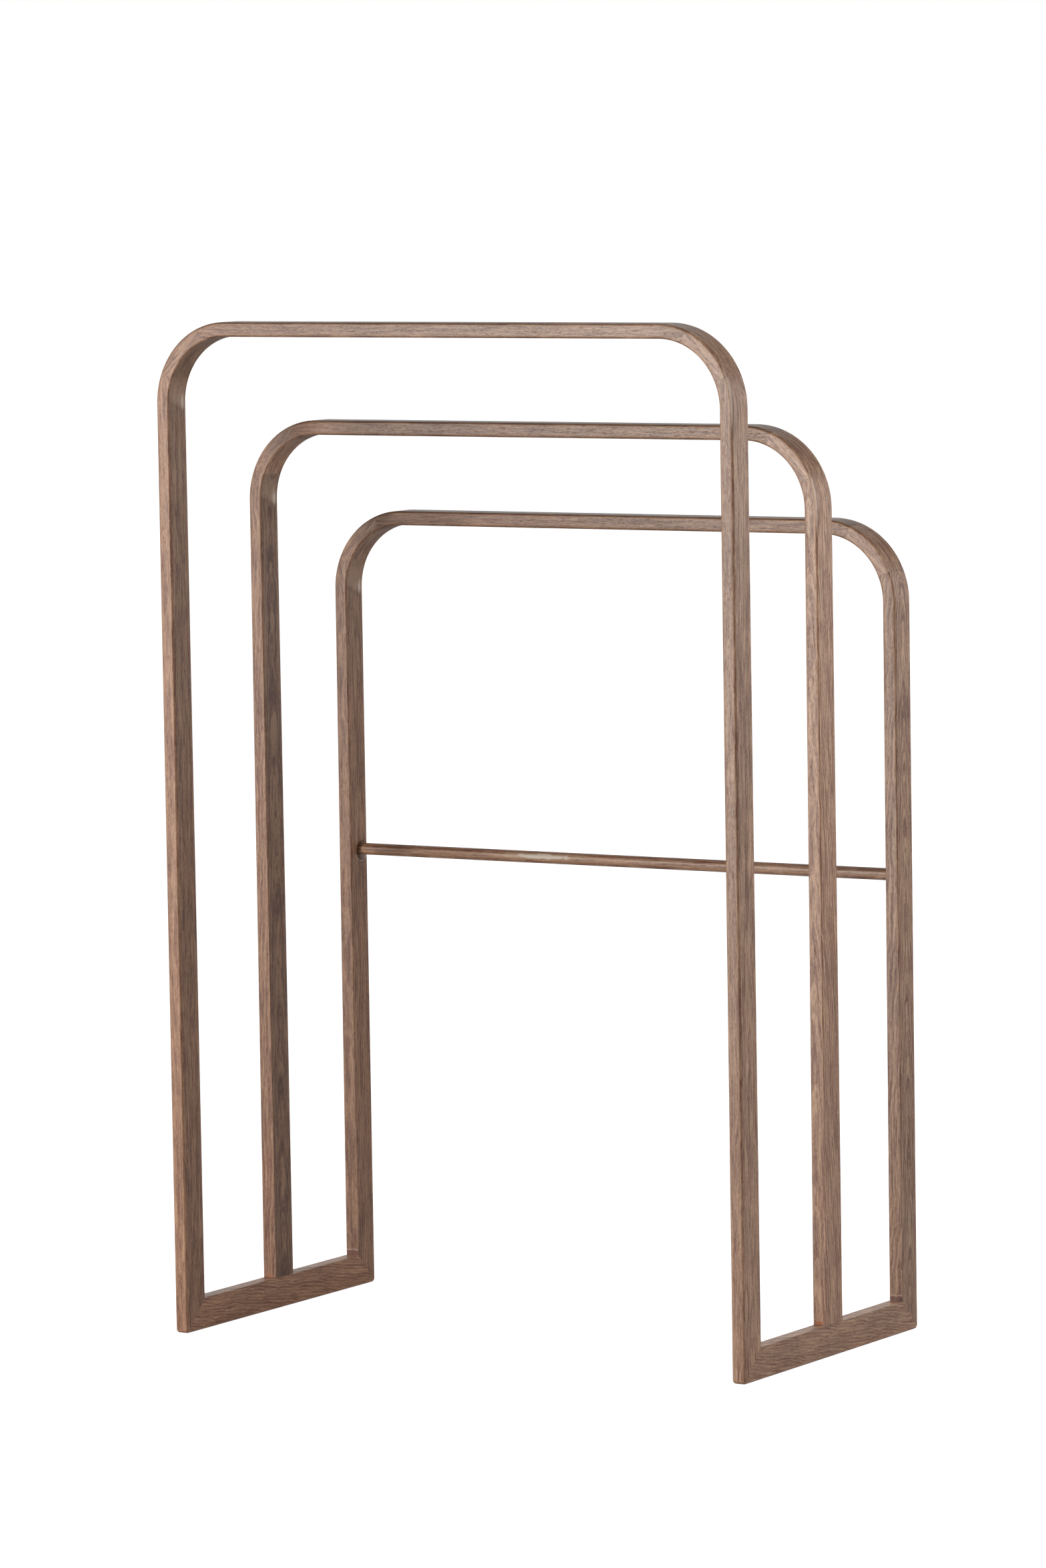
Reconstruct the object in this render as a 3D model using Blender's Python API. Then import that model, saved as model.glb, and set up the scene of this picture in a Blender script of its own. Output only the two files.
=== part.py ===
"""Free-standing wooden rack: three nested arches on two foot bars, with one round stretcher.

Metres, +Z up. The tallest arch stands at the front (-Y), the lowest at the back. The origin is on
the floor, under the middle of the rack. Every arch is a pair of legs, a rail and two round corner
blocks, joined end to end with loose tenons. The front and back legs are mitred to the foot bars,
and the middle legs stand on top of them.
"""
from collections import namedtuple
from math import cos, pi, radians, sin

import bmesh
import bpy
from mathutils import Vector

# Driving dimensions
WIDTH = 0.648                  # across the outer faces of the legs
DEPTH = 0.346                  # length of a foot bar, front to back
TALL_HEIGHT = 1.000
MIDDLE_HEIGHT = 0.897
LOW_HEIGHT = 0.798
MIDDLE_SETBACK = 0.003         # the middle arch stands this far behind half way
STOCK_THICKNESS = 0.0145       # of every flat bar
STOCK_WIDTH = 0.0315           # of every flat bar
ARRIS_RADIUS = 0.003           # on the long edges of the flat bars
ARRIS_STOP = 0.008             # run over which an arris dies out beside a joint
CORNER_RADIUS = 0.080          # outside of the round corners
CORNER_JOINT = radians(22.5)   # from each end of a corner's quarter turn to its joint
STRETCHER_DIAMETER = 0.012
STRETCHER_HEIGHT = 0.450
STRETCHER_SETBACK = 0.004      # the stretcher lies this far behind the middle of the low arch
SOCKET_DEPTH = 0.010           # blind socket in a leg, for the stretcher's end
DISH_DIAMETER = 0.021          # shallow dish round the mouth of a socket
DISH_DEPTH = 0.0025
TENON_THICKNESS = 0.005
TENON_WIDTH = 0.020
TENON_LENGTH = 0.028
MITRE_TENON_WIDTH = 0.014      # the tenons across the mitres are narrower and shorter
MITRE_TENON_LENGTH = 0.020
JOINT_GAP = 0.0003             # between two faces that meet
GLUE_GAP = 0.0003              # round a tenon in its mortise and the stretcher in its socket

# Facets
ARRIS_STEPS = 3
BEND_STEP = radians(7.5)
OVERRUN = radians(2)           # bend made past a joint, then sawn off
ROUND_SIDES = 24
SQUARE_EDGE = 0.0002           # radius of an edge that is left square
SMOOTH_ANGLE = radians(35)

# Worked out from the sizes above
LEG_X = (WIDTH - STOCK_THICKNESS) / 2
INNER_FACE_X = WIDTH / 2 - STOCK_THICKNESS
ARCH_PITCH = (DEPTH - STOCK_WIDTH) / 2
BEND_RADIUS = CORNER_RADIUS - STOCK_THICKNESS / 2
BACKWARD = Vector((0, 1, 0))
UP = Vector((0, 0, 1))
SIDES = (("left", -1), ("right", 1))

# An arch's foot_end is -1 or 1 where it is mitred to the front or back end of the foot bars, or 0
# where it stands on top of them.
Arch = namedtuple("Arch", "name height y foot_end")
ARCHES = (
    Arch("tall", TALL_HEIGHT, -ARCH_PITCH, -1),
    Arch("middle", MIDDLE_HEIGHT, MIDDLE_SETBACK, 0),
    Arch("low", LOW_HEIGHT, ARCH_PITCH, 1),
)

# A bar is lofted through stations: its centre, two directions across it and its outline there.
Station = namedtuple("Station", "centre across_u across_v outline")

# A joint's tenon runs along one direction, and is wide across another and thin across the third.
Joint = namedtuple("Joint", "centre along wide thin width length")


def clear_scene():
    for leftover in list(bpy.data.objects):
        bpy.data.objects.remove(leftover, do_unlink=True)


def wood(name, colour, roughness):
    material = bpy.data.materials.new(name)
    material.use_nodes = True
    shader = material.node_tree.nodes["Principled BSDF"]
    shader.inputs["Base Color"].default_value = (*colour, 1)
    shader.inputs["Roughness"].default_value = roughness
    shader.inputs["Metallic"].default_value = 0
    return material


def leg_wood(name):
    return wood(name, (0.33, 0.21, 0.14), 0.50)


def corner_wood(name):
    return wood(name, (0.31, 0.18, 0.11), 0.45)


def rail_wood(name):
    return wood(name, (0.35, 0.23, 0.16), 0.50)


def foot_wood(name):
    return wood(name, (0.25, 0.15, 0.10), 0.50)


def stretcher_wood(name):
    return wood(name, (0.30, 0.19, 0.13), 0.55)


def tenon_wood(name):
    return wood(name, (0.55, 0.40, 0.26), 0.70)


def rounded_outline(size_u, size_v, radii):
    """Points round a rectangle, counter-clockwise, from its corner (+u, +v)."""
    points = []
    for quarter, radius in enumerate(radii):
        centre_u = (size_u / 2 - radius) * (1 if quarter in (0, 3) else -1)
        centre_v = (size_v / 2 - radius) * (1 if quarter in (0, 1) else -1)
        for step in range(ARRIS_STEPS + 1):
            angle = (quarter + step / ARRIS_STEPS) * pi / 2
            points.append((centre_u + radius * cos(angle), centre_v + radius * sin(angle)))
    return points


EASED_BAR = rounded_outline(STOCK_THICKNESS, STOCK_WIDTH, [ARRIS_RADIUS] * 4)
SQUARE_BAR = rounded_outline(STOCK_THICKNESS, STOCK_WIDTH, [SQUARE_EDGE] * 4)
SEAT_BAR = rounded_outline(STOCK_THICKNESS, STOCK_WIDTH, [SQUARE_EDGE] * 2 + [ARRIS_RADIUS] * 2)


def loft(stations):
    """A closed bar through its stations, as a bmesh."""
    bar = bmesh.new()
    rings = []
    for station in stations:
        ring = []
        for u, v in station.outline:
            ring.append(bar.verts.new(station.centre + station.across_u * u + station.across_v * v))
        rings.append(ring)
    for ring, following in zip(rings, rings[1:]):
        for here in range(len(ring)):
            beside = (here + 1) % len(ring)
            bar.faces.new((ring[here], ring[beside], following[beside], following[here]))
    bar.faces.new(rings[0][::-1])
    bar.faces.new(rings[-1])
    bmesh.ops.recalc_face_normals(bar, faces=bar.faces)
    return bar


def saw(bar, joint, keep):
    """Saw a bar through at a joint, and keep the side that the joint points to (1) or the other (-1)."""
    cut = bmesh.ops.bisect_plane(
        bar,
        geom=bar.verts[:] + bar.edges[:] + bar.faces[:],
        plane_co=joint.centre + joint.along * (keep * JOINT_GAP / 2),
        plane_no=joint.along * -keep,
        clear_outer=True,
    )
    rim = [edge for edge in cut["geom_cut"] if isinstance(edge, bmesh.types.BMEdge)]
    bmesh.ops.edgeloop_fill(bar, edges=rim)
    bmesh.ops.recalc_face_normals(bar, faces=bar.faces)


def add_object(name, shape, parent=None, material=None):
    mesh = bpy.data.meshes.new(name)
    shape.to_mesh(mesh)
    shape.free()
    mesh.shade_smooth()
    mesh.set_sharp_from_angle(angle=SMOOTH_ANGLE)
    if material:
        mesh.materials.append(material)
    thing = bpy.data.objects.new(name, mesh)
    bpy.context.scene.collection.objects.link(thing)
    thing.parent = parent
    return thing


def add_cutter(name, shape, parent):
    cutter = add_object(name, shape, parent)
    cutter.hide_render = True
    cutter.display_type = "WIRE"
    return cutter


def cut_with(thing, cutters):
    for cutter in cutters:
        boolean = thing.modifiers.new(cutter.name, "BOOLEAN")
        boolean.operation = "DIFFERENCE"
        boolean.solver = "EXACT"
        boolean.object = cutter


def outward(side, angle):
    """Direction out of a round corner, at an angle up from level."""
    return Vector((side * cos(angle), 0, sin(angle)))


def bend_point(side, height, angle):
    """Point on the middle line of an arch's round corner."""
    centre = Vector((side * (WIDTH / 2 - CORNER_RADIUS), 0, height - CORNER_RADIUS))
    return centre + outward(side, angle) * BEND_RADIUS


def bend_stations(side, height, start, end):
    steps = max(1, round((end - start) / BEND_STEP))
    angles = [start + (end - start) * step / steps for step in range(steps + 1)]
    return [
        Station(bend_point(side, height, angle), outward(side, angle), BACKWARD, EASED_BAR)
        for angle in angles
    ]


def bend_joint(side, height, angle):
    """Joint across a round corner, pointing on from the leg to the rail."""
    along = Vector((-side * sin(angle), 0, cos(angle)))
    centre = bend_point(side, height, angle)
    return Joint(centre, along, BACKWARD, outward(side, angle), TENON_WIDTH, TENON_LENGTH)


def foot_joint(x, y, foot_end):
    """Joint of a leg and its foot bar, pointing up into the leg."""
    sideways = Vector((1, 0, 0))
    if foot_end == 0:
        top = Vector((x, y, STOCK_WIDTH))
        return Joint(top, UP, BACKWARD, sideways, TENON_WIDTH, TENON_LENGTH)
    along = (UP + BACKWARD * foot_end).normalized()
    wide = (UP - BACKWARD * foot_end).normalized()
    middle = Vector((x, y, STOCK_WIDTH / 2))
    return Joint(middle, along, wide, sideways, MITRE_TENON_WIDTH, MITRE_TENON_LENGTH)


def tenon_shape(joint, growth=0.0):
    """A round-edged tongue across a joint, or its mortise when grown."""
    thickness = TENON_THICKNESS + 2 * growth
    width = joint.width + 2 * growth
    half_length = joint.length / 2 + growth
    outline = rounded_outline(thickness, width, [thickness / 2 - SQUARE_EDGE] * 4)
    return loft([
        Station(joint.centre + joint.along * end, joint.thin, joint.wide, outline)
        for end in (-half_length, half_length)
    ])


def add_tenon(name, joint, arch_frame):
    """The tenon of a joint, and the cutter for the two mortises it sits in."""
    add_object(f"{name}_tenon", tenon_shape(joint), arch_frame, tenon_wood(f"{name}_tenon"))
    return add_cutter(f"cut_{name}_mortises", tenon_shape(joint, GLUE_GAP), arch_frame)


def socket_shape(side):
    """The blind socket for a stretcher's end, with the dish round its mouth."""
    bore = STRETCHER_DIAMETER / 2 + GLUE_GAP
    rim = DISH_DIAMETER / 2
    profile = [(0, -DISH_DEPTH), (rim, -DISH_DEPTH)]
    for step in range(ARRIS_STEPS + 1):
        angle = step / ARRIS_STEPS * pi / 2
        profile.append((bore + (rim - bore) * cos(angle), DISH_DEPTH * sin(angle)))
    profile += [(bore, SOCKET_DEPTH), (0, SOCKET_DEPTH)]
    shape = bmesh.new()
    mouth = Vector((side * INNER_FACE_X, STRETCHER_SETBACK, STRETCHER_HEIGHT))
    points = [shape.verts.new(mouth + Vector((side * depth, radius, 0))) for radius, depth in profile]
    edges = [shape.edges.new(pair) for pair in zip(points, points[1:])]
    bmesh.ops.spin(
        shape, geom=points + edges, cent=mouth, axis=(1, 0, 0), angle=2 * pi, steps=ROUND_SIDES
    )
    bmesh.ops.remove_doubles(shape, verts=shape.verts, dist=SQUARE_EDGE / 2)
    bmesh.ops.recalc_face_normals(shape, faces=shape.faces)
    return shape


def leg_shape(side, arch, joints):
    x = side * LEG_X
    sideways = Vector((side, 0, 0))
    if arch.foot_end == 0:
        bottom = STOCK_WIDTH + JOINT_GAP
        stations = [
            Station(Vector((x, 0, bottom)), sideways, BACKWARD, SQUARE_BAR),
            Station(Vector((x, 0, bottom + ARRIS_STOP)), sideways, BACKWARD, EASED_BAR),
        ]
    else:
        stations = [Station(Vector((x, 0, 0)), sideways, BACKWARD, EASED_BAR)]
    bar = loft(stations + bend_stations(side, arch.height, 0, CORNER_JOINT + OVERRUN))
    saw(bar, joints["leg"], -1)
    if arch.foot_end != 0:
        saw(bar, joints["foot"], 1)
    return bar


def corner_shape(side, arch, joints):
    start = CORNER_JOINT - OVERRUN
    bar = loft(bend_stations(side, arch.height, start, pi / 2 - start))
    saw(bar, joints["leg"], 1)
    saw(bar, joints["rail"], -1)
    return bar


def rail_shape(arch, joints):
    start = pi / 2 - CORNER_JOINT - OVERRUN
    right = bend_stations(1, arch.height, start, pi / 2)
    left = bend_stations(-1, arch.height, start, pi / 2)
    bar = loft(right + left[::-1])
    for name, _ in SIDES:
        saw(bar, joints[name]["rail"], 1)
    return bar


def add_arch(arch):
    """One arch, in a frame of its own. Returns the cutters of its two foot joints."""
    arch_frame = bpy.data.objects.new(f"{arch.name}_arch", None)
    bpy.context.scene.collection.objects.link(arch_frame)
    arch_frame.location.y = arch.y
    joints = {}
    cutters = {}
    for name, side in SIDES:
        joints[name] = {
            "foot": foot_joint(side * LEG_X, 0, arch.foot_end),
            "leg": bend_joint(side, arch.height, CORNER_JOINT),
            "rail": bend_joint(side, arch.height, pi / 2 - CORNER_JOINT),
        }
        cutters[name] = {
            place: add_tenon(f"{arch.name}_{name}_{place}", joint, arch_frame)
            for place, joint in joints[name].items()
        }
    for name, side in SIDES:
        label = f"{arch.name}_{name}_leg"
        leg = add_object(label, leg_shape(side, arch, joints[name]), arch_frame, leg_wood(label))
        cut_with(leg, [cutters[name]["foot"], cutters[name]["leg"]])
        if arch.name == "low":
            cut_with(leg, [add_cutter(f"cut_{name}_socket", socket_shape(side), arch_frame)])
        label = f"{arch.name}_{name}_corner"
        corner = add_object(label, corner_shape(side, arch, joints[name]), arch_frame, corner_wood(label))
        cut_with(corner, [cutters[name]["leg"], cutters[name]["rail"]])
    label = f"{arch.name}_rail"
    rail = add_object(label, rail_shape(arch, joints), arch_frame, rail_wood(label))
    cut_with(rail, [cutters[name]["rail"] for name, _ in SIDES])
    return {name: cutters[name]["foot"] for name, _ in SIDES}


def foot_shape():
    """A foot bar along Y, with its top edges left square under the middle leg."""
    sideways = Vector((1, 0, 0))
    seat = STOCK_WIDTH / 2
    ends = (
        (-DEPTH / 2, EASED_BAR),
        (MIDDLE_SETBACK - seat - ARRIS_STOP, EASED_BAR),
        (MIDDLE_SETBACK - seat, SEAT_BAR),
        (MIDDLE_SETBACK + seat, SEAT_BAR),
        (MIDDLE_SETBACK + seat + ARRIS_STOP, EASED_BAR),
        (DEPTH / 2, EASED_BAR),
    )
    bar = loft([Station(Vector((0, y, STOCK_WIDTH / 2)), sideways, UP, outline) for y, outline in ends])
    for arch in ARCHES:
        if arch.foot_end != 0:
            saw(bar, foot_joint(0, arch.y, arch.foot_end), -1)
    return bar


def add_foot(name, side, cutters):
    label = f"{name}_foot_bar"
    foot = add_object(label, foot_shape(), material=foot_wood(label))
    foot.location.x = side * LEG_X
    cut_with(foot, cutters)


def add_stretcher():
    """The round stretcher between the lowest arch's legs, with its ends in their sockets."""
    length = 2 * (INNER_FACE_X + SOCKET_DEPTH - GLUE_GAP)
    shape = bmesh.new()
    bmesh.ops.create_cone(
        shape,
        cap_ends=True,
        segments=ROUND_SIDES,
        radius1=STRETCHER_DIAMETER / 2,
        radius2=STRETCHER_DIAMETER / 2,
        depth=length,
    )
    stretcher = add_object("stretcher", shape, material=stretcher_wood("stretcher"))
    stretcher.rotation_euler.y = pi / 2
    stretcher.location = (0, ARCH_PITCH + STRETCHER_SETBACK, STRETCHER_HEIGHT)


def main():
    clear_scene()
    foot_cutters = [add_arch(arch) for arch in ARCHES]
    for name, side in SIDES:
        add_foot(name, side, [cutters[name] for cutters in foot_cutters])
    add_stretcher()


main()
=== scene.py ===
"""Looks of a free-standing walnut towel rack: three nested arches on two foot bars, one stretcher.

Metres, +Z up, with the tall arch at the front (-Y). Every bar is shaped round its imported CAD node
and finished in oiled walnut, with its grain along the bar.
"""
from collections import namedtuple
from math import cos, pi, radians, sin

import bmesh
import bpy
from mathutils import Matrix, Vector


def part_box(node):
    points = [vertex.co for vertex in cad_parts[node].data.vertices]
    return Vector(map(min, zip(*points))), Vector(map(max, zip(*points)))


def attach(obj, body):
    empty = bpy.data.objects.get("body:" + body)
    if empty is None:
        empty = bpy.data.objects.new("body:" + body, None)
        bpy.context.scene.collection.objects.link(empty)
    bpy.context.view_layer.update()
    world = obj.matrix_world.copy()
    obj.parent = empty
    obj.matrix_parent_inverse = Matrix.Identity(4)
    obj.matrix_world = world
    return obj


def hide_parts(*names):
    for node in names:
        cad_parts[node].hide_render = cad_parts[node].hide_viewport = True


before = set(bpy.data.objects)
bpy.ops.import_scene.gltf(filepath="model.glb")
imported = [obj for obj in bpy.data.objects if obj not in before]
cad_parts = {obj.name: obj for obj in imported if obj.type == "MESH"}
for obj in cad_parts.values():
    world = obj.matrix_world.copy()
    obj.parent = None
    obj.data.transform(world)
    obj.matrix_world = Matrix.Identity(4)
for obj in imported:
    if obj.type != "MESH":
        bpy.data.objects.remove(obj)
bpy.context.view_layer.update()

# Sizes of the rack, from its CAD nodes
FOOT_LOW, FOOT_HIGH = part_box("left_foot_bar")
THICKNESS = FOOT_HIGH.x - FOOT_LOW.x
BREADTH = FOOT_HIGH.z - FOOT_LOW.z
HALF_WIDTH = -FOOT_LOW.x
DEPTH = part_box("low_rail")[1].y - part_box("tall_rail")[0].y
LEG_X = HALF_WIDTH - THICKNESS / 2
STRETCHER_LOW, STRETCHER_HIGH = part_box("stretcher")
STRETCHER_AXIS = (STRETCHER_LOW + STRETCHER_HIGH) / 2
STRETCHER_RADIUS = (STRETCHER_HIGH.z - STRETCHER_LOW.z) / 2

# Sizes of the joinery
CORNER_RADIUS = 0.080
BEND_RADIUS = CORNER_RADIUS - THICKNESS / 2
BEND_STEP = radians(1.875)
CORNER_JOINT = radians(22.5)
JOINT_GAP = 0.00003
ARRIS = 0.003
ARRIS_STEPS = 5
ARRIS_REACH = ARRIS * 1.02
TOE_ROUNDING = 0.004
TOE_STEPS = 6
ROD_ROUNDING = 0.0006
SHARP_EDGE = radians(35)
LIP_HEIGHT = 0.0052
LIP_DEPTH = 0.0003
SOCKET_DEPTH = 0.0099
DISH_RIM = 0.0105
DISH_DEPTH = 0.0024
DISH_DROP = 0.0012
SOCKET_PLAY = 0.00025

# How square an arris still is, at each distance from the corner where the cutter had to stop, and how
# nearly square it is at the corner itself
RUN_OUT = ((0.0005, 0.20), (0.0015, 0.42), (0.0030, 0.70), (0.0060, 0.93))
SQUARED = 0.07

UP = Vector((0, 0, 1))
BACK = Vector((0, 1, 0))
RIGHT = Vector((1, 0, 0))

Arch = namedtuple("Arch", "name height y foot_end")


def arch(name, foot_end):
    low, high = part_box(f"{name}_rail")
    return Arch(name, high.z, (low.y + high.y) / 2, foot_end)


ARCHES = (arch("tall", -1), arch("middle", 0), arch("low", 1))
MIDDLE_Y = ARCHES[1].y
SIDES = (("left", -1), ("right", 1))


# Shaping tools


def deselect():
    bpy.ops.object.select_all(action="DESELECT")


def choose(piece):
    deselect()
    piece.select_set(True)
    bpy.context.view_layer.objects.active = piece


def enter(piece):
    choose(piece)
    bpy.ops.object.mode_set(mode="EDIT")


def leave():
    """Turn every face outwards, and shade the piece."""
    bpy.ops.mesh.select_all(action="SELECT")
    bpy.ops.mesh.normals_make_consistent(inside=False)
    bpy.ops.object.mode_set(mode="OBJECT")
    smooth(bpy.context.object)


def smooth(piece):
    """Shade the rounded edges smooth, and keep the broad faces flat up to them."""
    choose(piece)
    bpy.ops.object.shade_smooth_by_angle(angle=SHARP_EDGE)
    flatten = piece.modifiers.new("flatten", "WEIGHTED_NORMAL")
    flatten.keep_sharp = True
    bpy.ops.object.modifier_apply(modifier=flatten.name)


def settle(name):
    piece = bpy.context.object
    piece.name = name
    piece.data.name = name
    bpy.ops.object.transform_apply(location=True, rotation=True, scale=True)
    return piece


def block(name, low, high):
    """A square-edged block between two corners."""
    low = Vector(low)
    high = Vector(high)
    deselect()
    bpy.ops.mesh.primitive_cube_add(size=1, location=(low + high) / 2, scale=high - low)
    return settle(name)


def pick(kind, test):
    """In edit mode, select only the points, edges or faces for which the test holds."""
    bpy.ops.mesh.select_all(action="DESELECT")
    bpy.ops.mesh.select_mode(type=kind)
    mesh = bpy.context.edit_object.data
    cage = bmesh.from_edit_mesh(mesh)
    for part in {"VERT": cage.verts, "EDGE": cage.edges, "FACE": cage.faces}[kind]:
        if test(part):
            part.select_set(True)
    cage.select_flush_mode()
    bmesh.update_edit_mesh(mesh)


def saw(point, waste):
    """Saw through the whole piece at a point, and drop the side that waste points to."""
    bpy.ops.mesh.select_all(action="SELECT")
    bpy.ops.mesh.bisect(plane_co=point, plane_no=waste, clear_outer=True, use_fill=True)


def score(point, direction):
    """Mark a line round the whole piece without parting it."""
    bpy.ops.mesh.select_all(action="SELECT")
    bpy.ops.mesh.bisect(plane_co=point, plane_no=direction)


def round_over(radius, steps, affect="EDGES"):
    bpy.ops.mesh.bevel(
        offset_type="OFFSET", offset=radius, segments=steps, profile=0.5, affect=affect,
        clamp_overlap=False,
    )


def on_plane(vert, point, normal):
    return abs((vert.co - point).dot(normal)) < 1e-5


def lies_on(part, point, normal):
    return all(on_plane(vert, point, normal) for vert in part.verts)


def faces_end(face, direction, reach):
    """Whether a face looks along a direction, and lies as far out that way as reach."""
    return face.normal.dot(direction) > 0.9 and face.calc_center_median().dot(direction) > reach - 1e-4


def ease_sides(axis, skipped):
    """Round the outline of the two broad faces, which look along an axis, but not where they end on a
    skipped plane, given as a point and a normal."""
    def outline(edge):
        if len(edge.link_faces) != 2:
            return False
        broad = [abs(face.normal[axis]) > 0.9 for face in edge.link_faces]
        if broad[0] == broad[1]:
            return False
        return not any(lies_on(edge, point, normal) for point, normal in skipped)

    pick("EDGE", outline)
    round_over(ARRIS, ARRIS_STEPS)


def round_toe(y):
    """Round the bottom edge at one end of a foot."""
    toe = Vector((0, y, 0))
    pick("EDGE", lambda edge: lies_on(edge, toe, UP) and lies_on(edge, toe, BACK))
    round_over(TOE_ROUNDING, TOE_STEPS)


def square_off(corners, normal, amount):
    """Draw the rounded arrises, where they cross a plane through the square corners that they were
    worked from, towards those corners."""
    for corner in corners:
        def near(vert):
            offset = vert.co - corner
            return on_plane(vert, corner, normal) and max(abs(offset.x), abs(offset.y)) < ARRIS_REACH

        pick("VERT", near)
        bpy.ops.transform.resize(value=(amount, amount, amount), center_override=corner)


def bend_centre(side, arch):
    return Vector((side * (HALF_WIDTH - CORNER_RADIUS), arch.y, arch.height - CORNER_RADIUS))


def outward(side, angle):
    return Vector((side * cos(angle), 0, sin(angle)))


def onward(side, angle):
    """Direction along the bend, from the leg to the rail."""
    return Vector((-side * sin(angle), 0, cos(angle)))


def sweep(centre, axis, angle):
    """Draw the selected end round a bend."""
    steps = max(2, round(angle / BEND_STEP))
    bpy.ops.mesh.spin(steps=steps, dupli=False, angle=-angle, center=centre, axis=axis)


def close_ends():
    bpy.ops.mesh.select_all(action="DESELECT")
    bpy.ops.mesh.select_mode(type="EDGE")
    bpy.ops.mesh.select_non_manifold(extend=False)
    cage = bmesh.from_edit_mesh(bpy.context.edit_object.data)
    if any(edge.select for edge in cage.edges):
        bpy.ops.mesh.edge_face_add()


def stop_mitred_arrises(x, foot_end, mitre, waste):
    """Let a leg's inner arrises die out where it meets the foot bar."""
    inner = foot_end * (DEPTH / 2 - BREADTH)
    edges = (x - THICKNESS / 2, x + THICKNESS / 2)
    for distance, amount in RUN_OUT:
        height = BREADTH + distance
        score(Vector((x, 0, height)), UP)
        square_off([Vector((edge, inner, height)) for edge in edges], UP, amount)
    foot_z = mitre.z - (inner - mitre.y) * waste.y / waste.z
    square_off([Vector((edge, inner, foot_z)) for edge in edges], waste, SQUARED)
    lip = Vector((x, 0, BREADTH + LIP_HEIGHT))
    score(lip, UP)
    pick("VERT", lambda vert: on_plane(vert, lip, UP) and abs(vert.co.y - inner) < 1e-4)
    bpy.ops.transform.translate(value=(0, -foot_end * LIP_DEPTH, 0))


def stop_standing_arrises(x, y, bottom):
    """Let all four arrises of a middle leg die out above the foot bar."""
    edges = [(x + i * THICKNESS / 2, y + j * BREADTH / 2) for i in (-1, 1) for j in (-1, 1)]
    for distance, amount in ((0, SQUARED),) + RUN_OUT:
        height = bottom + distance
        if distance:
            score(Vector((x, 0, height)), UP)
        square_off([Vector((*edge, height)) for edge in edges], UP, amount)


def stop_foot_arrises(x, mitres):
    """Leave a foot bar's top arrises square under the middle leg, and let them die out beside it and at
    the mitres, which are sawn already."""
    levels = []
    for end in (-1, 1):
        seat = MIDDLE_Y + end * BREADTH / 2
        corner = end * (DEPTH / 2 - BREADTH)
        levels += [(seat + end * distance, amount) for distance, amount in RUN_OUT]
        levels += [(corner - end * distance, amount) for distance, amount in RUN_OUT]
        levels.append((seat, SQUARED))
    cuts = [(Vector((x, place_y, BREADTH)), BACK, amount) for place_y, amount in levels]
    for mitre, waste in mitres:
        inner = mitre.y - (BREADTH - mitre.z) * waste.z / waste.y
        cuts.append((Vector((x, inner, BREADTH)), waste, SQUARED))
    for place, normal, amount in cuts:
        if normal == BACK:
            score(place, BACK)
        for edge in (x - THICKNESS / 2, x + THICKNESS / 2):
            def near(vert):
                high = vert.co.z > BREADTH - ARRIS_REACH
                return on_plane(vert, place, normal) and abs(vert.co.x - edge) < ARRIS_REACH and high

            pick("VERT", near)
            bpy.ops.transform.resize(value=(amount,) * 3, center_override=(edge, place.y, BREADTH))


def shape_leg(arch, side, side_name):
    node = f"{arch.name}_{side_name}_leg"
    x = side * LEG_X
    half = BREADTH / 2
    shoulder = arch.height - CORNER_RADIUS
    bottom = 0 if arch.foot_end else BREADTH + JOINT_GAP
    leg = block(
        f"walnut_{node}",
        (x - THICKNESS / 2, arch.y - half, bottom),
        (x + THICKNESS / 2, arch.y + half, shoulder),
    )
    enter(leg)
    skipped = [(Vector((x, 0, shoulder)), UP)]
    if arch.foot_end:
        toe = arch.foot_end * DEPTH / 2
        round_toe(toe)
        ease_sides(0, skipped)
        waste = Vector((0, -arch.foot_end, -1)).normalized()
        mitre = Vector((x, toe, 0)) - waste * JOINT_GAP / 2
        saw(mitre, waste)
        stop_mitred_arrises(x, arch.foot_end, mitre, waste)
    else:
        skipped.append((Vector((x, 0, bottom)), UP))
        ease_sides(0, skipped)
        stop_standing_arrises(x, arch.y, bottom)
    pick("FACE", lambda face: faces_end(face, UP, shoulder))
    sweep(bend_centre(side, arch), -side * BACK, CORNER_JOINT - JOINT_GAP / 2 / BEND_RADIUS)
    close_ends()
    leave()
    if arch.name == "low":
        cut_socket(leg, side)
    return leg, node


def cut_socket(leg, side):
    """Bore the blind socket for the stretcher, with a shallow dish round its mouth."""
    face_x = side * (HALF_WIDTH - THICKNESS)
    ball = (DISH_RIM ** 2 + DISH_DEPTH ** 2) / (2 * DISH_DEPTH)
    dish_x = face_x - side * (ball - DISH_DEPTH)
    dish_place = Vector((dish_x, STRETCHER_AXIS.y, STRETCHER_AXIS.z - DISH_DROP))
    deselect()
    bpy.ops.mesh.primitive_uv_sphere_add(
        segments=96, ring_count=192, radius=ball, location=dish_place, rotation=(0, pi / 2, 0)
    )
    dish = settle("dish_cutter")
    deselect()
    bpy.ops.mesh.primitive_cylinder_add(
        vertices=64, radius=STRETCHER_RADIUS + SOCKET_PLAY, depth=2 * SOCKET_DEPTH,
        location=(face_x, STRETCHER_AXIS.y, STRETCHER_AXIS.z), rotation=(0, pi / 2, 0),
    )
    bore = settle("bore_cutter")
    for cutter in (dish, bore):
        cut = leg.modifiers.new(cutter.name, "BOOLEAN")
        cut.operation = "DIFFERENCE"
        cut.solver = "EXACT"
        cut.object = cutter
        bpy.context.view_layer.objects.active = leg
        bpy.ops.object.modifier_apply(modifier=cut.name)
        bpy.data.objects.remove(cutter)
    smooth(leg)


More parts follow.
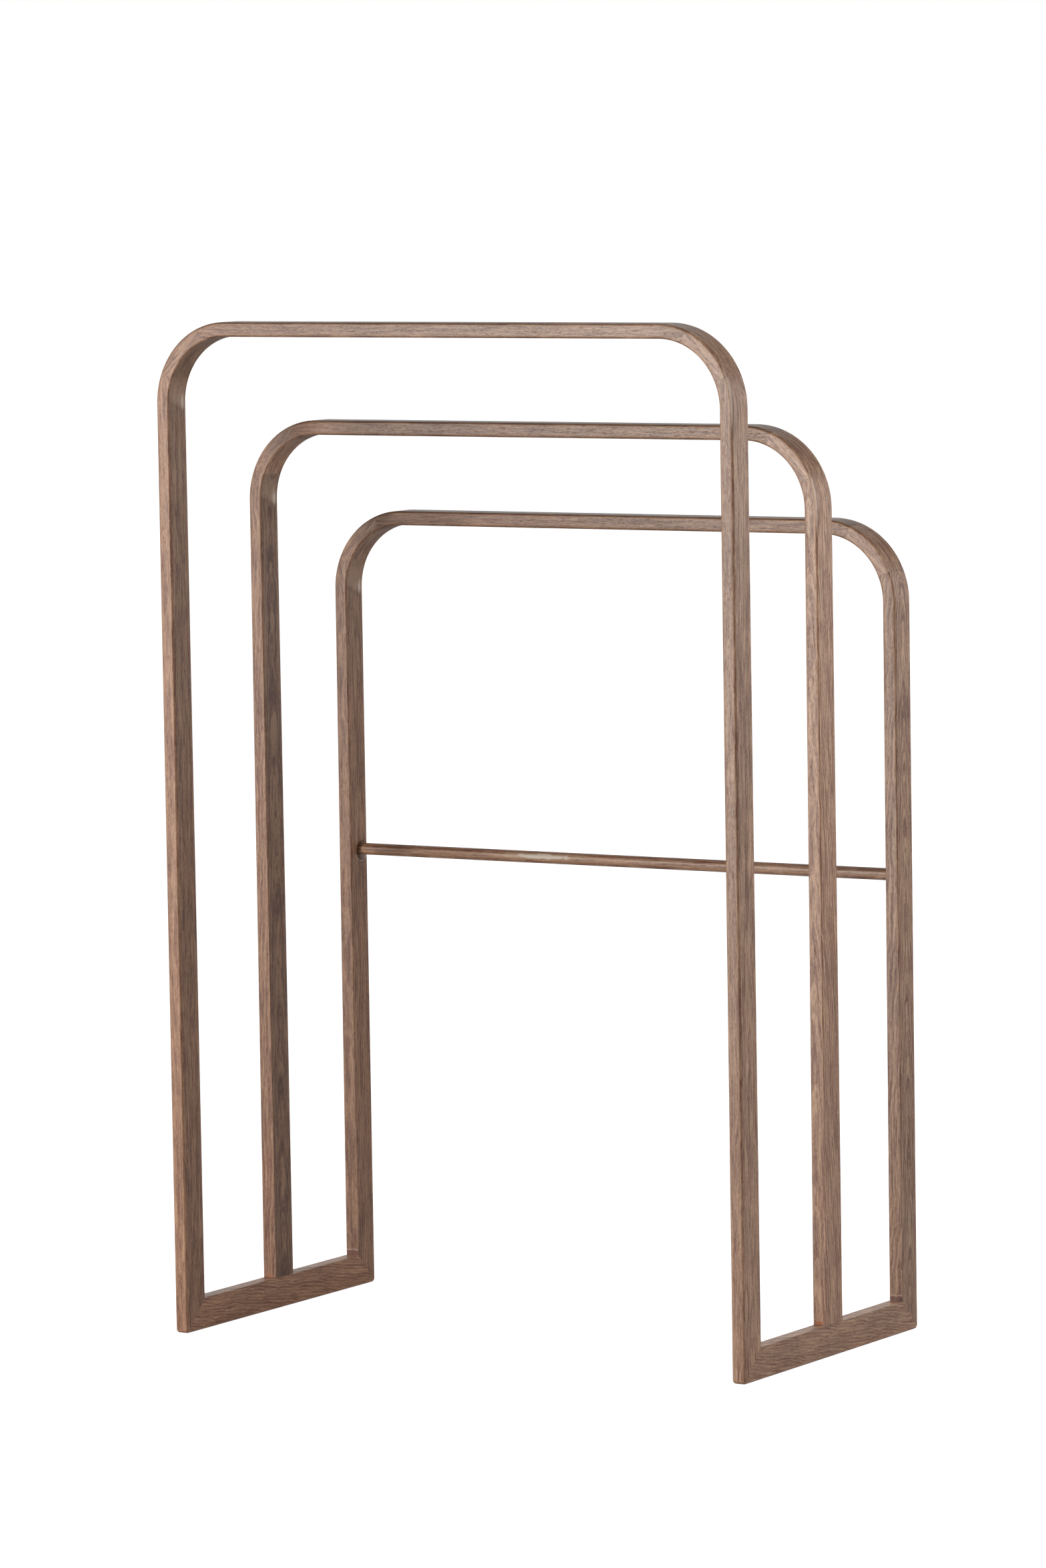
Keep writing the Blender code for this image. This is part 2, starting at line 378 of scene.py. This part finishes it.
def shape_corner(arch, side, side_name):
    node = f"{arch.name}_{side_name}_corner"
    gap = JOINT_GAP / 2 / BEND_RADIUS
    start = CORNER_JOINT + gap
    place = bend_centre(side, arch) + outward(side, start) * BEND_RADIUS
    deselect()
    bpy.ops.mesh.primitive_plane_add(size=1, location=place, rotation=(0, -side * start, 0))
    plate = bpy.context.object
    plate.scale = (THICKNESS, BREADTH, 1)
    corner = settle(f"walnut_{node}")
    enter(corner)
    bpy.ops.mesh.select_all(action="SELECT")
    round_over(ARRIS, ARRIS_STEPS, "VERTICES")
    bpy.ops.mesh.select_all(action="SELECT")
    sweep(bend_centre(side, arch), -side * BACK, pi / 2 - 2 * start)
    close_ends()
    leave()
    return corner, node


def shape_rail(arch):
    node = f"{arch.name}_rail"
    reach = HALF_WIDTH - CORNER_RADIUS
    rail = block(
        f"walnut_{node}",
        (-reach, arch.y - BREADTH / 2, arch.height - THICKNESS),
        (reach, arch.y + BREADTH / 2, arch.height),
    )
    enter(rail)
    ease_sides(2, [(RIGHT * reach, RIGHT), (RIGHT * -reach, RIGHT)])
    turn = CORNER_JOINT - JOINT_GAP / 2 / BEND_RADIUS
    for _, side in SIDES:
        pick("FACE", lambda face: faces_end(face, RIGHT * side, reach))
        sweep(bend_centre(side, arch), side * BACK, turn)
    close_ends()
    leave()
    return rail, node


def shape_foot(side, side_name):
    node = f"{side_name}_foot_bar"
    x = side * LEG_X
    foot = block(
        f"walnut_{node}",
        (x - THICKNESS / 2, -DEPTH / 2, 0),
        (x + THICKNESS / 2, DEPTH / 2, BREADTH),
    )
    enter(foot)
    round_toe(-DEPTH / 2)
    round_toe(DEPTH / 2)
    ease_sides(0, [])
    mitres = []
    for end in (-1, 1):
        waste = Vector((0, end, 1)).normalized()
        mitre = Vector((x, end * DEPTH / 2, 0)) - waste * JOINT_GAP / 2
        saw(mitre, waste)
        mitres.append((mitre, waste))
    stop_foot_arrises(x, mitres)
    leave()
    return foot, node


def shape_stretcher():
    deselect()
    length = STRETCHER_HIGH.x - STRETCHER_LOW.x
    bpy.ops.mesh.primitive_cylinder_add(
        vertices=48, radius=STRETCHER_RADIUS, depth=length, location=STRETCHER_AXIS,
        rotation=(0, pi / 2, 0),
    )
    rod = settle("walnut_stretcher")
    enter(rod)
    pick("EDGE", lambda edge: any(abs(face.normal.x) > 0.9 for face in edge.link_faces))
    round_over(ROD_ROUNDING, 2)
    leave()
    return rod, "stretcher"


# Finishes


class Value:
    """A socket of a material, on which Python's operators add Math nodes."""

    def __init__(self, wood, socket):
        self.wood = wood
        self.socket = socket

    def maths(self, operation, first, second=0.0):
        node = self.wood.node("Math", {"operation": operation}, {0: first, 1: second})
        return Value(self.wood, node.outputs[0])

    def __add__(self, other):
        return self.maths("ADD", self, other)

    def __mul__(self, other):
        return self.maths("MULTIPLY", self, other)

    def __sub__(self, other):
        return self.maths("SUBTRACT", self, other)

    def __rsub__(self, other):
        return self.maths("SUBTRACT", other, self)

    def __truediv__(self, other):
        return self.maths("DIVIDE", self, other)

    def __pow__(self, other):
        return self.maths("POWER", self, other)

    __radd__ = __add__
    __rmul__ = __mul__


class Wood:
    """A material's nodes."""

    def __init__(self, name):
        self.material = bpy.data.materials.new(name)
        self.material.use_nodes = True
        self.tree = self.material.node_tree
        self.shader = self.tree.nodes["Principled BSDF"]

    def feed(self, socket, value):
        if isinstance(value, Value):
            value = value.socket
        if isinstance(value, bpy.types.NodeSocket):
            self.tree.links.new(value, socket)
        else:
            socket.default_value = value

    def node(self, kind, settings, sockets):
        """Add a node with its settings made first, then feed its sockets."""
        node = self.tree.nodes.new("ShaderNode" + kind)
        for name, setting in settings.items():
            setattr(node, name, setting)
        for name, value in sockets.items():
            self.feed(node.inputs[name], value)
        return node

    def value(self, kind, settings, sockets, output=0):
        return Value(self, self.node(kind, settings, sockets).outputs[output])

    def step(self, value, low, high):
        """0 below low, 1 above high, and smooth between."""
        return self.value(
            "MapRange", {"interpolation_type": "SMOOTHSTEP"},
            {"Value": value, "From Min": low, "From Max": high},
        )

    def mix(self, factor, first, second, blend="MIX"):
        settings = {"data_type": "RGBA", "blend_type": blend}
        return self.node("Mix", settings, {0: factor, 6: first, 7: second}).outputs[2]

    def tint(self, colour, other):
        return self.mix(1.0, colour, other, "MULTIPLY")

    def scaled(self, colour, factor):
        return self.node("VectorMath", {"operation": "SCALE"}, {0: colour, "Scale": factor}).outputs[0]

    def spot(self):
        """The place on the piece, in metres."""
        return self.node("TexCoord", {}, {}).outputs["Object"]

    def dot(self, vector, direction):
        return self.value("VectorMath", {"operation": "DOT_PRODUCT"}, {0: vector, 1: direction}, "Value")

    def noise(self, vector, scale, detail=2.0, roughness=0.5):
        """Noise of mean 0 and about -1 to 1."""
        sockets = {"Vector": vector, "Scale": scale, "Detail": detail, "Roughness": roughness}
        return self.value("TexNoise", {}, sockets) * 4 - 2

    def length(self, vector):
        return self.value("VectorMath", {"operation": "LENGTH"}, {0: vector}, "Value")

    def place(self, along, across, through):
        return self.node("CombineXYZ", {}, {0: along, 1: across, 2: through}).outputs[0]

    def patch(self, spot, centre, reach, edge=0.7):
        """1 within a small ellipsoid, and 0 outside it."""
        offset = self.node("VectorMath", {"operation": "SUBTRACT"}, {0: spot, 1: centre}).outputs[0]
        offset = self.node("VectorMath", {"operation": "DIVIDE"}, {0: offset, 1: reach}).outputs[0]
        return 1 - self.step(self.length(offset), edge, 1.0)


# Millimetres in a metre, and the usual width of a growth ring in millimetres
MM = 1000.0
RING_WIDTH = 3.1

# The wood's two colours, which a piece's tone scales, and the tints laid over them
PALE_WOOD = Vector((1.54, 0.92, 0.54))
DARK_WOOD = Vector((0.52, 0.205, 0.115))
# Painted sheen: a warmer tint where little sheen falls, and a greyer one where the lamps' sheen falls on
# the right and upper parts
DULL_WOOD_TINT = (1.04, 0.95, 0.91, 1)
SHEEN_GREY_TINT = (0.98, 1.045, 1.15, 1)
WARMER = (1.05, 0.995, 0.925, 1)

# Colours of the marks
# painted shade along the arris
ARRIS_SHADE_RED = (0.60, 0.26, 0.15, 1)
# painted highlight of the hollow at the left bends
HOLLOW_HIGHLIGHT = (0.52, 0.36, 0.265, 1)
# painted highlight at the tip of that hollow
TIP_HIGHLIGHT = (0.66, 0.54, 0.46, 1)
# dark glue joints, and painted shade at the hollow's edge and in the socket's dish
DARK_JOINT_AND_SHADE = (0.095, 0.040, 0.027, 1)
# painted highlight on the lower rim of the socket's dish
RIM_HIGHLIGHT_TONE = (0.46, 0.35, 0.28, 1)
# painted shade in the crease below the lip
LIP_SHADE = (0.15, 0.058, 0.040, 1)
CHIPPED = (0.50, 0.37, 0.28, 1)
NICKED = (0.50, 0.38, 0.29, 1)
# painted shadow for a gap above the right foot bar
GAP_SHADE_BLACK = (0.012, 0.007, 0.005, 1)
GLUE = (0.42, 0.11, 0.020, 1)
# painted highlight on the right bends' arris
GLINT_TONE = (0.72, 0.58, 0.47, 1)
SCUFFED = (0.46, 0.36, 0.23, 1)
STRIPPED = (0.56, 0.47, 0.38, 1)
BEECH = (0.62, 0.44, 0.28, 1)
BEECH_FLECK = (0.46, 0.31, 0.19, 1)


# Where the pith lies beside a piece, as an angle from the direction across and a distance in
# millimetres, how much the growth rings lean to the grain, and how plainly they show
Rings = namedtuple("Rings", "turn reach slope boldness")


def walnut(piece, along, across, seed, tones, rings, marks=()):
    """Oiled walnut, with its grain along one direction, a painted sheen tint, and painted shade and a
    painted highlight along the arris.

    along and across are directions in the bar, and through is at right angles to both. tones gives the
    mean brightness of the faces that look across, and of those that look through. marks adds what only
    this piece has.
    """
    wood = Wood(piece.name)
    through = along.cross(across)
    middle = sum((Vector(corner) for corner in piece.bound_box), Vector()) / 8
    spot = wood.spot()
    u = wood.dot(spot, along * MM)
    v = wood.dot(spot, across * MM)
    w = wood.dot(spot, through * MM)
    shift = seed * 137.0

    # slow waviness of the whole figure
    sway = wood.noise(wood.place(u * 0.011 + shift, v * 0.02, w * 0.02), 1.0, 2.0)
    waver = wood.noise(wood.place(u * 0.06 + shift, v * 0.12, w * 0.12), 1.0, 2.0)
    cloud = wood.noise(wood.place(u * 0.025 - shift, v * 0.06, w * 0.06), 1.0, 1.0)

    # growth rings
    turn = radians(rings.turn)
    side_v = v - (middle.dot(across) * MM + rings.reach * cos(turn))
    side_w = w - (middle.dot(through) * MM + rings.reach * sin(turn))
    distance = (side_v * side_v + side_w * side_w) ** 0.5
    ring = distance + u * rings.slope + sway * 2.0 + waver * 0.6
    band = wood.value("Math", {"operation": "FRACT"}, {0: ring / RING_WIDTH + cloud * 0.5})
    late = wood.step(band, 0.30, 0.90) * (1 - wood.step(band, 0.93, 1.0)) - 0.42

    # fibres, dashes and pores, long along the grain
    coarse = wood.noise(wood.place(u * 0.015 + shift, ring * 0.33, w * 0.15), 1.0, 2.0)
    streak = wood.noise(wood.place(u * 0.035 - shift, ring * 0.80, w * 0.5), 1.0, 2.0)
    fine = wood.noise(wood.place(u * 0.07 + shift, ring * 1.5, w * 1.2), 1.0, 3.0, 0.65)
    hair = wood.noise(wood.place(u * 0.14 + shift, v * 3.0 + sway * 2, w * 3.0), 1.0, 2.0)
    speck = wood.noise(wood.place(u * 0.30, v * 1.2 + sway, w * 1.2 + shift), 1.0, 3.0, 0.7)
    dash = wood.noise(wood.place(u * 0.13 - shift, v * 1.35 + sway, w * 1.35), 1.0, 1.0)
    dash = wood.step(dash, 0.20, 0.80)
    pores = wood.step(wood.noise(wood.place(u * 0.22, v * 2.4 + shift, w * 2.4), 1.0, 1.0), 0.40, 0.90)

    facing = wood.node("NewGeometry", {}, {}).outputs["Normal"]
    level = wood.dot(facing, across)
    level = level * level
    tone = level * (tones[0] - tones[1]) + tones[1]

    figure = late * rings.boldness + coarse * 0.30 + streak * 0.36 + fine * 0.28 + hair * 0.12
    figure = figure + speck * 0.30 - dash * 0.22
    shade = figure * (1.45 - level * 0.45) + 0.55
    base = wood.mix(shade, (*DARK_WOOD, 1), (*PALE_WOOD, 1))
    base = wood.mix(pores * 0.50, base, (*(DARK_WOOD * 0.7), 1))
    base = wood.scaled(base, cloud * 0.10 + 1)
    # painted sheen: the right and upper parts turn greyer, standing in for the sheen the lamps give
    # there
    painted_sheen_mask = wood.step(wood.dot(spot, Vector((0.9, 0, 0.5))), -0.35, 0.75)
    base = wood.tint(base, wood.mix(painted_sheen_mask, DULL_WOOD_TINT, SHEEN_GREY_TINT))

    # painted shade: the rounded arris shows as a thin reddish line where the flat faces' sheen is
    # missing, with a painted highlight as a pale line beside it
    wander = wood.noise(wood.place(u * 0.05, v * 0.2, w * 0.2 + shift), 1.0, 3.0)
    unlit_arris_mask = wood.step(level * (1 - level) * 4 + wander * 0.15, 0.70, 1.0)
    base = wood.mix(unlit_arris_mask * 0.40, base, ARRIS_SHADE_RED)
    arris_highlight_mask = wood.step(level, 0.80, 0.90) * (1 - wood.step(level, 0.97, 0.995))
    base = wood.mix(arris_highlight_mask * 0.35, base, (*(PALE_WOOD * 1.2), 1))
    base = wood.scaled(base, tone)
    for mark in marks:
        base = mark(wood, spot, facing, base)
    wood.feed(wood.shader.inputs["Base Color"], base)

    gloss = 0.37 + fine * 0.03 + pores * 0.14 + speck * 0.02
    wood.feed(wood.shader.inputs["Roughness"], gloss)
    relief = hair * 0.3 + fine * 0.5 - pores * 1.6
    bump = wood.node("Bump", {}, {"Strength": 0.5, "Distance": 0.00012, "Height": relief})
    wood.feed(wood.shader.inputs["Normal"], bump.outputs[0])
    return wood.material


# What only one or two of the pieces have, with the painted light and shade on some of them


def painted_hollow_light(arch):
    """Painted light of the smooth sawn hollow of a left bend, which is not modelled: a lighter tongue
    where it runs out on the leg's inner face, painted shade along the tongue's lower edge, and a painted
    highlight at its tip.
    """
    shoulder = arch.height - CORNER_RADIUS

    def marks(wood, spot, facing, base):
        inside = wood.step(wood.dot(facing, RIGHT), 0.75, 0.92)
        up = wood.dot(spot, UP)
        back = wood.dot(spot, BACK)
        ripple = wood.noise(spot, 160.0, 2.0) * 0.0016
        above = up - (shoulder + 0.002 + (arch.y - BREADTH / 2 - back) * 0.36) + ripple
        strip = 1 - wood.step(back, arch.y + 0.0095, arch.y + 0.0125)
        # painted highlight: the lighter tongue where the hollow catches the light
        hollow_sheen_mask = wood.step(above, -0.001, 0.0070) * (1 - wood.step(above, 0.012, 0.042))
        base = wood.mix(hollow_sheen_mask * strip * inside * 0.40, base, HOLLOW_HIGHLIGHT)
        # painted shade along the lower edge of the hollow
        edge = wood.step(above, -0.003, -0.0005) * (1 - wood.step(above, 0.0, 0.002)) * inside
        base = wood.mix(edge * 0.25, base, DARK_JOINT_AND_SHADE)
        # painted highlight at the tongue's tip
        tip_highlight_place = (-HALF_WIDTH + THICKNESS, arch.y + 0.0085, shoulder + 0.001)
        tip_highlight_mask = wood.patch(spot, tip_highlight_place, (0.01, 0.0042, 0.011), 0.0)
        return wood.mix(tip_highlight_mask * inside * 0.75, base, TIP_HIGHLIGHT)

    return marks


def low_leg_wear_and_shade(side):
    """A low leg's chipped lip, left where its arrises stop above the foot bar, with painted shade below
    it, and its torn socket, with painted shade in its dish and a painted highlight on the dish's lower
    rim; the right leg also has a painted shadow for a gap above the foot bar.
    """
    mouth = (side * (HALF_WIDTH - THICKNESS), STRETCHER_AXIS.y, STRETCHER_AXIS.z - DISH_DROP)
    lip = BREADTH + LIP_HEIGHT
    gap_shade_place = (LEG_X + 0.0055, ARCHES[2].y - BREADTH / 2, BREADTH + 0.0016)

    def marks(wood, spot, facing, base):
        ragged = wood.noise(spot, 260.0, 3.0)
        inner = wood.step(wood.dot(facing, RIGHT) * -side, 0.3, 0.8)
        away = wood.value("VectorMath", {"operation": "DISTANCE"}, {0: spot, 1: mouth}, "Value")
        away = away + ragged * 0.0007
        # painted shade inside the dish round the socket's mouth
        base = wood.mix((1 - wood.step(away, 0.0095, 0.0108)) * 0.50, base, DARK_JOINT_AND_SHADE)
        # painted highlight on the dish's ragged lower rim
        rim_highlight_mask = wood.step(away, 0.0098, 0.0108) * (1 - wood.step(away, 0.0116, 0.0126)) * inner
        below = 1 - wood.step(wood.dot(spot, UP), STRETCHER_AXIS.z - 0.003, STRETCHER_AXIS.z + 0.007)
        base = wood.mix(rim_highlight_mask * below * wood.step(ragged, -0.3, 0.5) * 0.75, base, RIM_HIGHLIGHT_TONE)
        front = wood.step(wood.dot(facing, -BACK), 0.6, 0.9)
        up = wood.dot(spot, UP) + wood.noise(spot, 200.0, 2.0) * 0.0014
        # painted shade on the front face, in the crease below the lip
        base = wood.mix(front * (1 - wood.step(up, lip - 0.0012, lip)) * 0.75, base, LIP_SHADE)
        chip = wood.step(up, lip - 0.0008, lip) * (1 - wood.step(up, lip + 0.0004, lip + 0.0012))
        base = wood.mix(chip * front * 0.55, base, CHIPPED)
        if side > 0:
            # painted shadow: a near-black spot for a gap just above the foot bar
            gap_shade_mask = wood.patch(spot, gap_shade_place, (0.0016, 0.003, 0.0016), 0.5)
            base = wood.mix(gap_shade_mask, base, GAP_SHADE_BLACK)
        return base

    return marks


def seams(arch, side):
    """Faint broken glue lines at both ends of a corner block."""
    def marks(wood, spot, facing, base):
        broken = wood.step(wood.noise(spot, 330.0, 2.0), -0.3, 0.5)
        for angle in (CORNER_JOINT, pi / 2 - CORNER_JOINT):
            way = onward(side, angle)
            beyond = wood.dot(spot, way) - way.dot(bend_centre(side, arch))
            near = 1 - wood.step(beyond * beyond, 0.0, 0.0009 ** 2)
            base = wood.mix(near * broken * 0.55, base, DARK_JOINT_AND_SHADE)
        return base

    return marks


def paler_right_end(arch):
    """A rail grows paler towards its right end, as painted light where the lamps on the right fall more
    strongly, and the middle one is darker left of its middle, and cloudy all along."""
    def marks(wood, spot, facing, base):
        reach = wood.dot(spot, RIGHT)
        # painted light: paler towards the right end
        gain = wood.step(reach, 0.07, 0.22) * 0.26 + 1
        if arch.name == "middle":
            shaded = wood.step(reach, -0.235, -0.18) * (1 - wood.step(reach, -0.11, -0.03))
            gain = gain - shaded * 0.20
            gain = gain + (1 - wood.step(reach, -0.26, -0.215)) * 0.22
            gain = gain + wood.noise(spot, 26.0, 2.0) * 0.09
        if arch.name != "tall":
            base = wood.tint(base, WARMER)
        return wood.scaled(base, gain)

    return marks


def paler_top(gain):
    """A leg grows paler towards its bend, as painted light where the lamps fall more strongly."""
    def marks(wood, spot, facing, base):
        return wood.scaled(base, wood.step(wood.dot(spot, UP), 0.15, 0.60) * gain + 1)

    return marks


def squeezed_glue(side):
    """A bead of glue squeezed out where a middle leg stands on its foot bar."""
    bead = (side * LEG_X - 0.001, MIDDLE_Y - BREADTH / 2, BREADTH + 0.0018)
    thickness = 0.9 if side > 0 else 0.4

    def marks(wood, spot, facing, base):
        glue = wood.patch(spot, bead, (0.0058, 0.004, 0.0032), 0.3)
        base = wood.mix(glue * thickness, base, GLUE)
        line = 1 - wood.step(wood.dot(spot, UP), BREADTH + 0.0002, BREADTH + 0.0009)
        return wood.mix(line * 0.5, base, DARK_JOINT_AND_SHADE)

    return marks


def nicked_edge(wood, spot, facing, base):
    """Small nicks along the right foot bar's outer top arris."""
    for y, length in ((0.019, 0.0016), (0.0295, 0.0012), (0.0755, 0.0022), (0.103, 0.0010)):
        nick_place = (HALF_WIDTH - 0.0006, y, BREADTH - 0.0008)
        nick = wood.patch(spot, nick_place, (0.0022, length, 0.0013), 0.4)
        base = wood.mix(nick * 0.8, base, NICKED)
    return base


def painted_bend_glint(arch):
    """Painted highlight: the right bends shine along their front outer arris, near the joint with the
    leg.
    """
    place = bend_centre(1, arch) + outward(1, radians(8)) * CORNER_RADIUS - BACK * BREADTH / 2
    looking = (outward(1, radians(12)) - BACK).normalized()

    def marks(wood, spot, facing, base):
        # painted highlight: a glint along the front outer arris
        line = wood.step(wood.dot(facing, looking), 0.90, 0.98)
        line = line * wood.patch(spot, place, (0.02, 0.02, 0.040), 0.2)
        return wood.mix(line * 0.75, base, GLINT_TONE)

    return marks


def bare_patch(wood, spot, facing, base):
    """A rubbed bare stretch on the front of the stretcher."""
    centre = (-0.090, STRETCHER_AXIS.y - STRETCHER_RADIUS, STRETCHER_AXIS.z + 0.0015)
    torn_place = wood.place(wood.dot(spot, RIGHT) * 110, wood.dot(spot, UP) * 420, 0.0)
    torn = wood.noise(torn_place, 1.0, 3.0)
    rubbed = wood.patch(spot, centre, (0.068, 0.010, 0.0050), 0.0) + torn * 0.30
    base = wood.mix(wood.step(rubbed, 0.10, 0.30) * 0.30, base, SCUFFED)
    return wood.mix(wood.step(rubbed, 0.50, 0.62) * 0.85, base, STRIPPED)


def beech():
    wood = Wood("beech_tenons")
    fleck = wood.value("TexNoise", {}, {"Vector": wood.spot(), "Scale": 400.0, "Detail": 3.0})
    wood.feed(wood.shader.inputs["Base Color"], wood.mix(fleck, BEECH, BEECH_FLECK))
    wood.shader.inputs["Roughness"].default_value = 0.7
    return wood.material


def dress(piece, node, material):
    piece.data.materials.clear()
    piece.data.materials.append(material)
    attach(piece, "root")
    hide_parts(node)


# Growth rings of the legs and of the other pieces
LEG_RINGS = {
    "tall_left_leg": Rings(20, 300, 0.003, 0.18),
    "middle_left_leg": Rings(-90, 15, 0.030, 0.38),
    "middle_right_leg": Rings(180, 24, 0.040, 0.40),
    "low_left_leg": Rings(15, 200, 0.006, 0.30),
    "low_right_leg": Rings(-90, 15, 0.040, 0.42),
}
PLAIN_LEG_RINGS = Rings(35, 300, 0.004, 0.18)
CORNER_RINGS = Rings(20, 300, 0.01, 0.18)
RAIL_RINGS = Rings(50, 200, 0.006, 0.18)
FOOT_RINGS = Rings(70, 45, 0.14, 0.40)
STRETCHER_RINGS = Rings(45, 60, 0.004, 0.2)

# How much paler some legs grow towards their bends, as painted light where the lamps fall more strongly
PALER_TOPS = {"middle_right_leg": 0.20, "low_right_leg": 0.13, "middle_left_leg": 0.06}

# How light each piece's wood is, on the faces that look across and on those that look through
TONES = {
    "tall_left_leg": (0.29, 0.225),
    "tall_left_corner": (0.265, 0.205),
    "tall_rail": (0.25, 0.215),
    "tall_right_corner": (0.36, 0.34),
    "tall_right_leg": (0.31, 0.315),
    "middle_left_leg": (0.24, 0.165),
    "middle_left_corner": (0.255, 0.31),
    "middle_rail": (0.195, 0.145),
    "middle_right_corner": (0.37, 0.32),
    "middle_right_leg": (0.325, 0.325),
    "low_left_leg": (0.23, 0.235),
    "low_left_corner": (0.25, 0.26),
    "low_rail": (0.21, 0.160),
    "low_right_corner": (0.36, 0.295),
    "low_right_leg": (0.28, 0.26),
    "left_foot_bar": (0.30, 0.36),
    "right_foot_bar": (0.315, 0.42),
    "stretcher": (0.265, 0.265),
}


def marks_of_leg(arch, side, node):
    marks = []
    if side < 0:
        marks.append(painted_hollow_light(arch))
    elif arch.name != "low":
        marks.append(painted_bend_glint(arch))
    if arch.name == "low":
        marks.append(low_leg_wear_and_shade(side))
    if arch.name == "middle":
        marks.append(squeezed_glue(side))
    if node in PALER_TOPS:
        marks.append(paler_top(PALER_TOPS[node]))
    return marks


def marks_of_corner(arch, side):
    return [seams(arch, side), painted_hollow_light(arch) if side < 0 else painted_bend_glint(arch)]


def make_arch(arch, seed):
    for side_name, side in SIDES:
        seed += 1
        leg, node = shape_leg(arch, side, side_name)
        corner, corner_node = shape_corner(arch, side, side_name)
        rings = LEG_RINGS.get(node, PLAIN_LEG_RINGS)
        finish = walnut(leg, UP, BACK, seed, TONES[node], rings, marks_of_leg(arch, side, node))
        dress(leg, node, finish)
        finish = walnut(
            corner, onward(side, pi / 4), BACK, seed + 20, TONES[corner_node], CORNER_RINGS,
            marks_of_corner(arch, side),
        )
        dress(corner, corner_node, finish)
    rail, node = shape_rail(arch)
    finish = walnut(rail, RIGHT, BACK, seed + 40, TONES[node], RAIL_RINGS, [paler_right_end(arch)])
    dress(rail, node, finish)
    return seed


def make_rack():
    seed = 0
    for arch in ARCHES:
        seed = make_arch(arch, seed)
    for side_name, side in SIDES:
        foot, node = shape_foot(side, side_name)
        marks = [nicked_edge] if side > 0 else []
        finish = walnut(foot, BACK, RIGHT, seed + 60 + side, TONES[node], FOOT_RINGS, marks)
        dress(foot, node, finish)
    rod, node = shape_stretcher()
    finish = walnut(rod, RIGHT, BACK, 90, TONES[node], STRETCHER_RINGS, [bare_patch])
    dress(rod, node, finish)
    inside = beech()
    for node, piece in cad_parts.items():
        if node.endswith("_tenon"):
            piece.data.materials.clear()
            piece.data.materials.append(inside)


make_rack()

# Camera, light and floor

CAMERA_PLACE = (3.5914, -5.9102, 1.2128)
YAW = radians(31.40)
PITCH = radians(-5.535)
ROLL = radians(-0.924)

camera_data = bpy.data.cameras.new("camera")
camera_data.sensor_fit = "VERTICAL"
camera_data.sensor_height = 36
camera_data.lens = 162.71
camera_data.clip_end = 100
camera = bpy.data.objects.new("camera", camera_data)
bpy.context.scene.collection.objects.link(camera)
camera.location = CAMERA_PLACE
ahead = Vector((-sin(YAW) * cos(PITCH), cos(YAW) * cos(PITCH), sin(PITCH)))
level = Vector((cos(YAW), sin(YAW), 0))
upright = level.cross(ahead)
rightward = level * cos(ROLL) + upright * sin(ROLL)
topward = upright * cos(ROLL) - level * sin(ROLL)
camera.rotation_euler = Matrix((rightward, topward, -ahead)).transposed().to_euler()
bpy.context.scene.camera = camera

bpy.context.scene.view_settings.view_transform = "Standard"


def softbox(name, place, aim, width, height, power):
    data = bpy.data.lights.new(name, "AREA")
    data.shape = "RECTANGLE"
    data.size = width
    data.size_y = height
    data.energy = power
    light = bpy.data.objects.new(name, data)
    bpy.context.scene.collection.objects.link(light)
    light.location = place
    light.rotation_euler = (Vector(aim) - Vector(place)).to_track_quat("-Z", "Y").to_euler()
    light.visible_camera = False


softbox("front_left_strip", (-1.15, -2.9, 1.1), (0.1, 0, 0.7), 0.9, 2.0, 72)
softbox("left_strip", (-2.1, -2.6, 1.1), (0, 0, 0.6), 0.9, 2.0, 12)
softbox("right_high", (1.6, 0.2, 1.9), (0.3, 0, 0.7), 1.0, 1.0, 9.5)
softbox("back_right_strip", (2.3, 2.6, 1.2), (0.2, 0, 0.7), 0.9, 1.8, 22)
softbox("right_side", (2.6, 0.6, 1.5), (0.3, 0, 0.7), 1.2, 1.4, 20)

# The room is dark but for a soft glow from the back left, and looks white to the camera.
studio = bpy.data.worlds.new("studio")
studio.use_nodes = True
bpy.context.scene.world = studio


class Room(Wood):
    """The world's nodes, made in the same way as a material's."""

    def __init__(self, world):
        self.tree = world.node_tree
        self.shader = self.tree.nodes["Background"]


room = Room(studio)
around = room.node("TexCoord", {}, {}).outputs["Generated"]
glow = room.dot(around, Vector((-0.7, 0.7, 0.15)).normalized())
glow = room.value("Math", {"operation": "MAXIMUM"}, {0: glow, 1: 0.0}) ** 4
seen = room.value("LightPath", {}, {}, "Is Camera Ray")
room.shader.inputs["Color"].default_value = (1, 1, 1, 1)
room.feed(room.shader.inputs["Strength"], glow * (1 - seen) + seen)

deselect()
bpy.ops.mesh.primitive_plane_add(size=60, location=(0, 0, -0.0005))
floor = settle("floor")
paint = Wood("pale_floor")
paint.shader.inputs["Base Color"].default_value = (0.85, 0.85, 0.85, 1)
paint.shader.inputs["Roughness"].default_value = 0.6
away = paint.length(paint.spot())
seen = paint.value("LightPath", {}, {}, "Is Camera Ray")
paint.shader.inputs["Emission Strength"].default_value = 1
paint.feed(paint.shader.inputs["Emission Color"], seen * (paint.step(away, 0.6, 2.5) * 0.1 + 0.9))
floor.data.materials.append(paint.material)
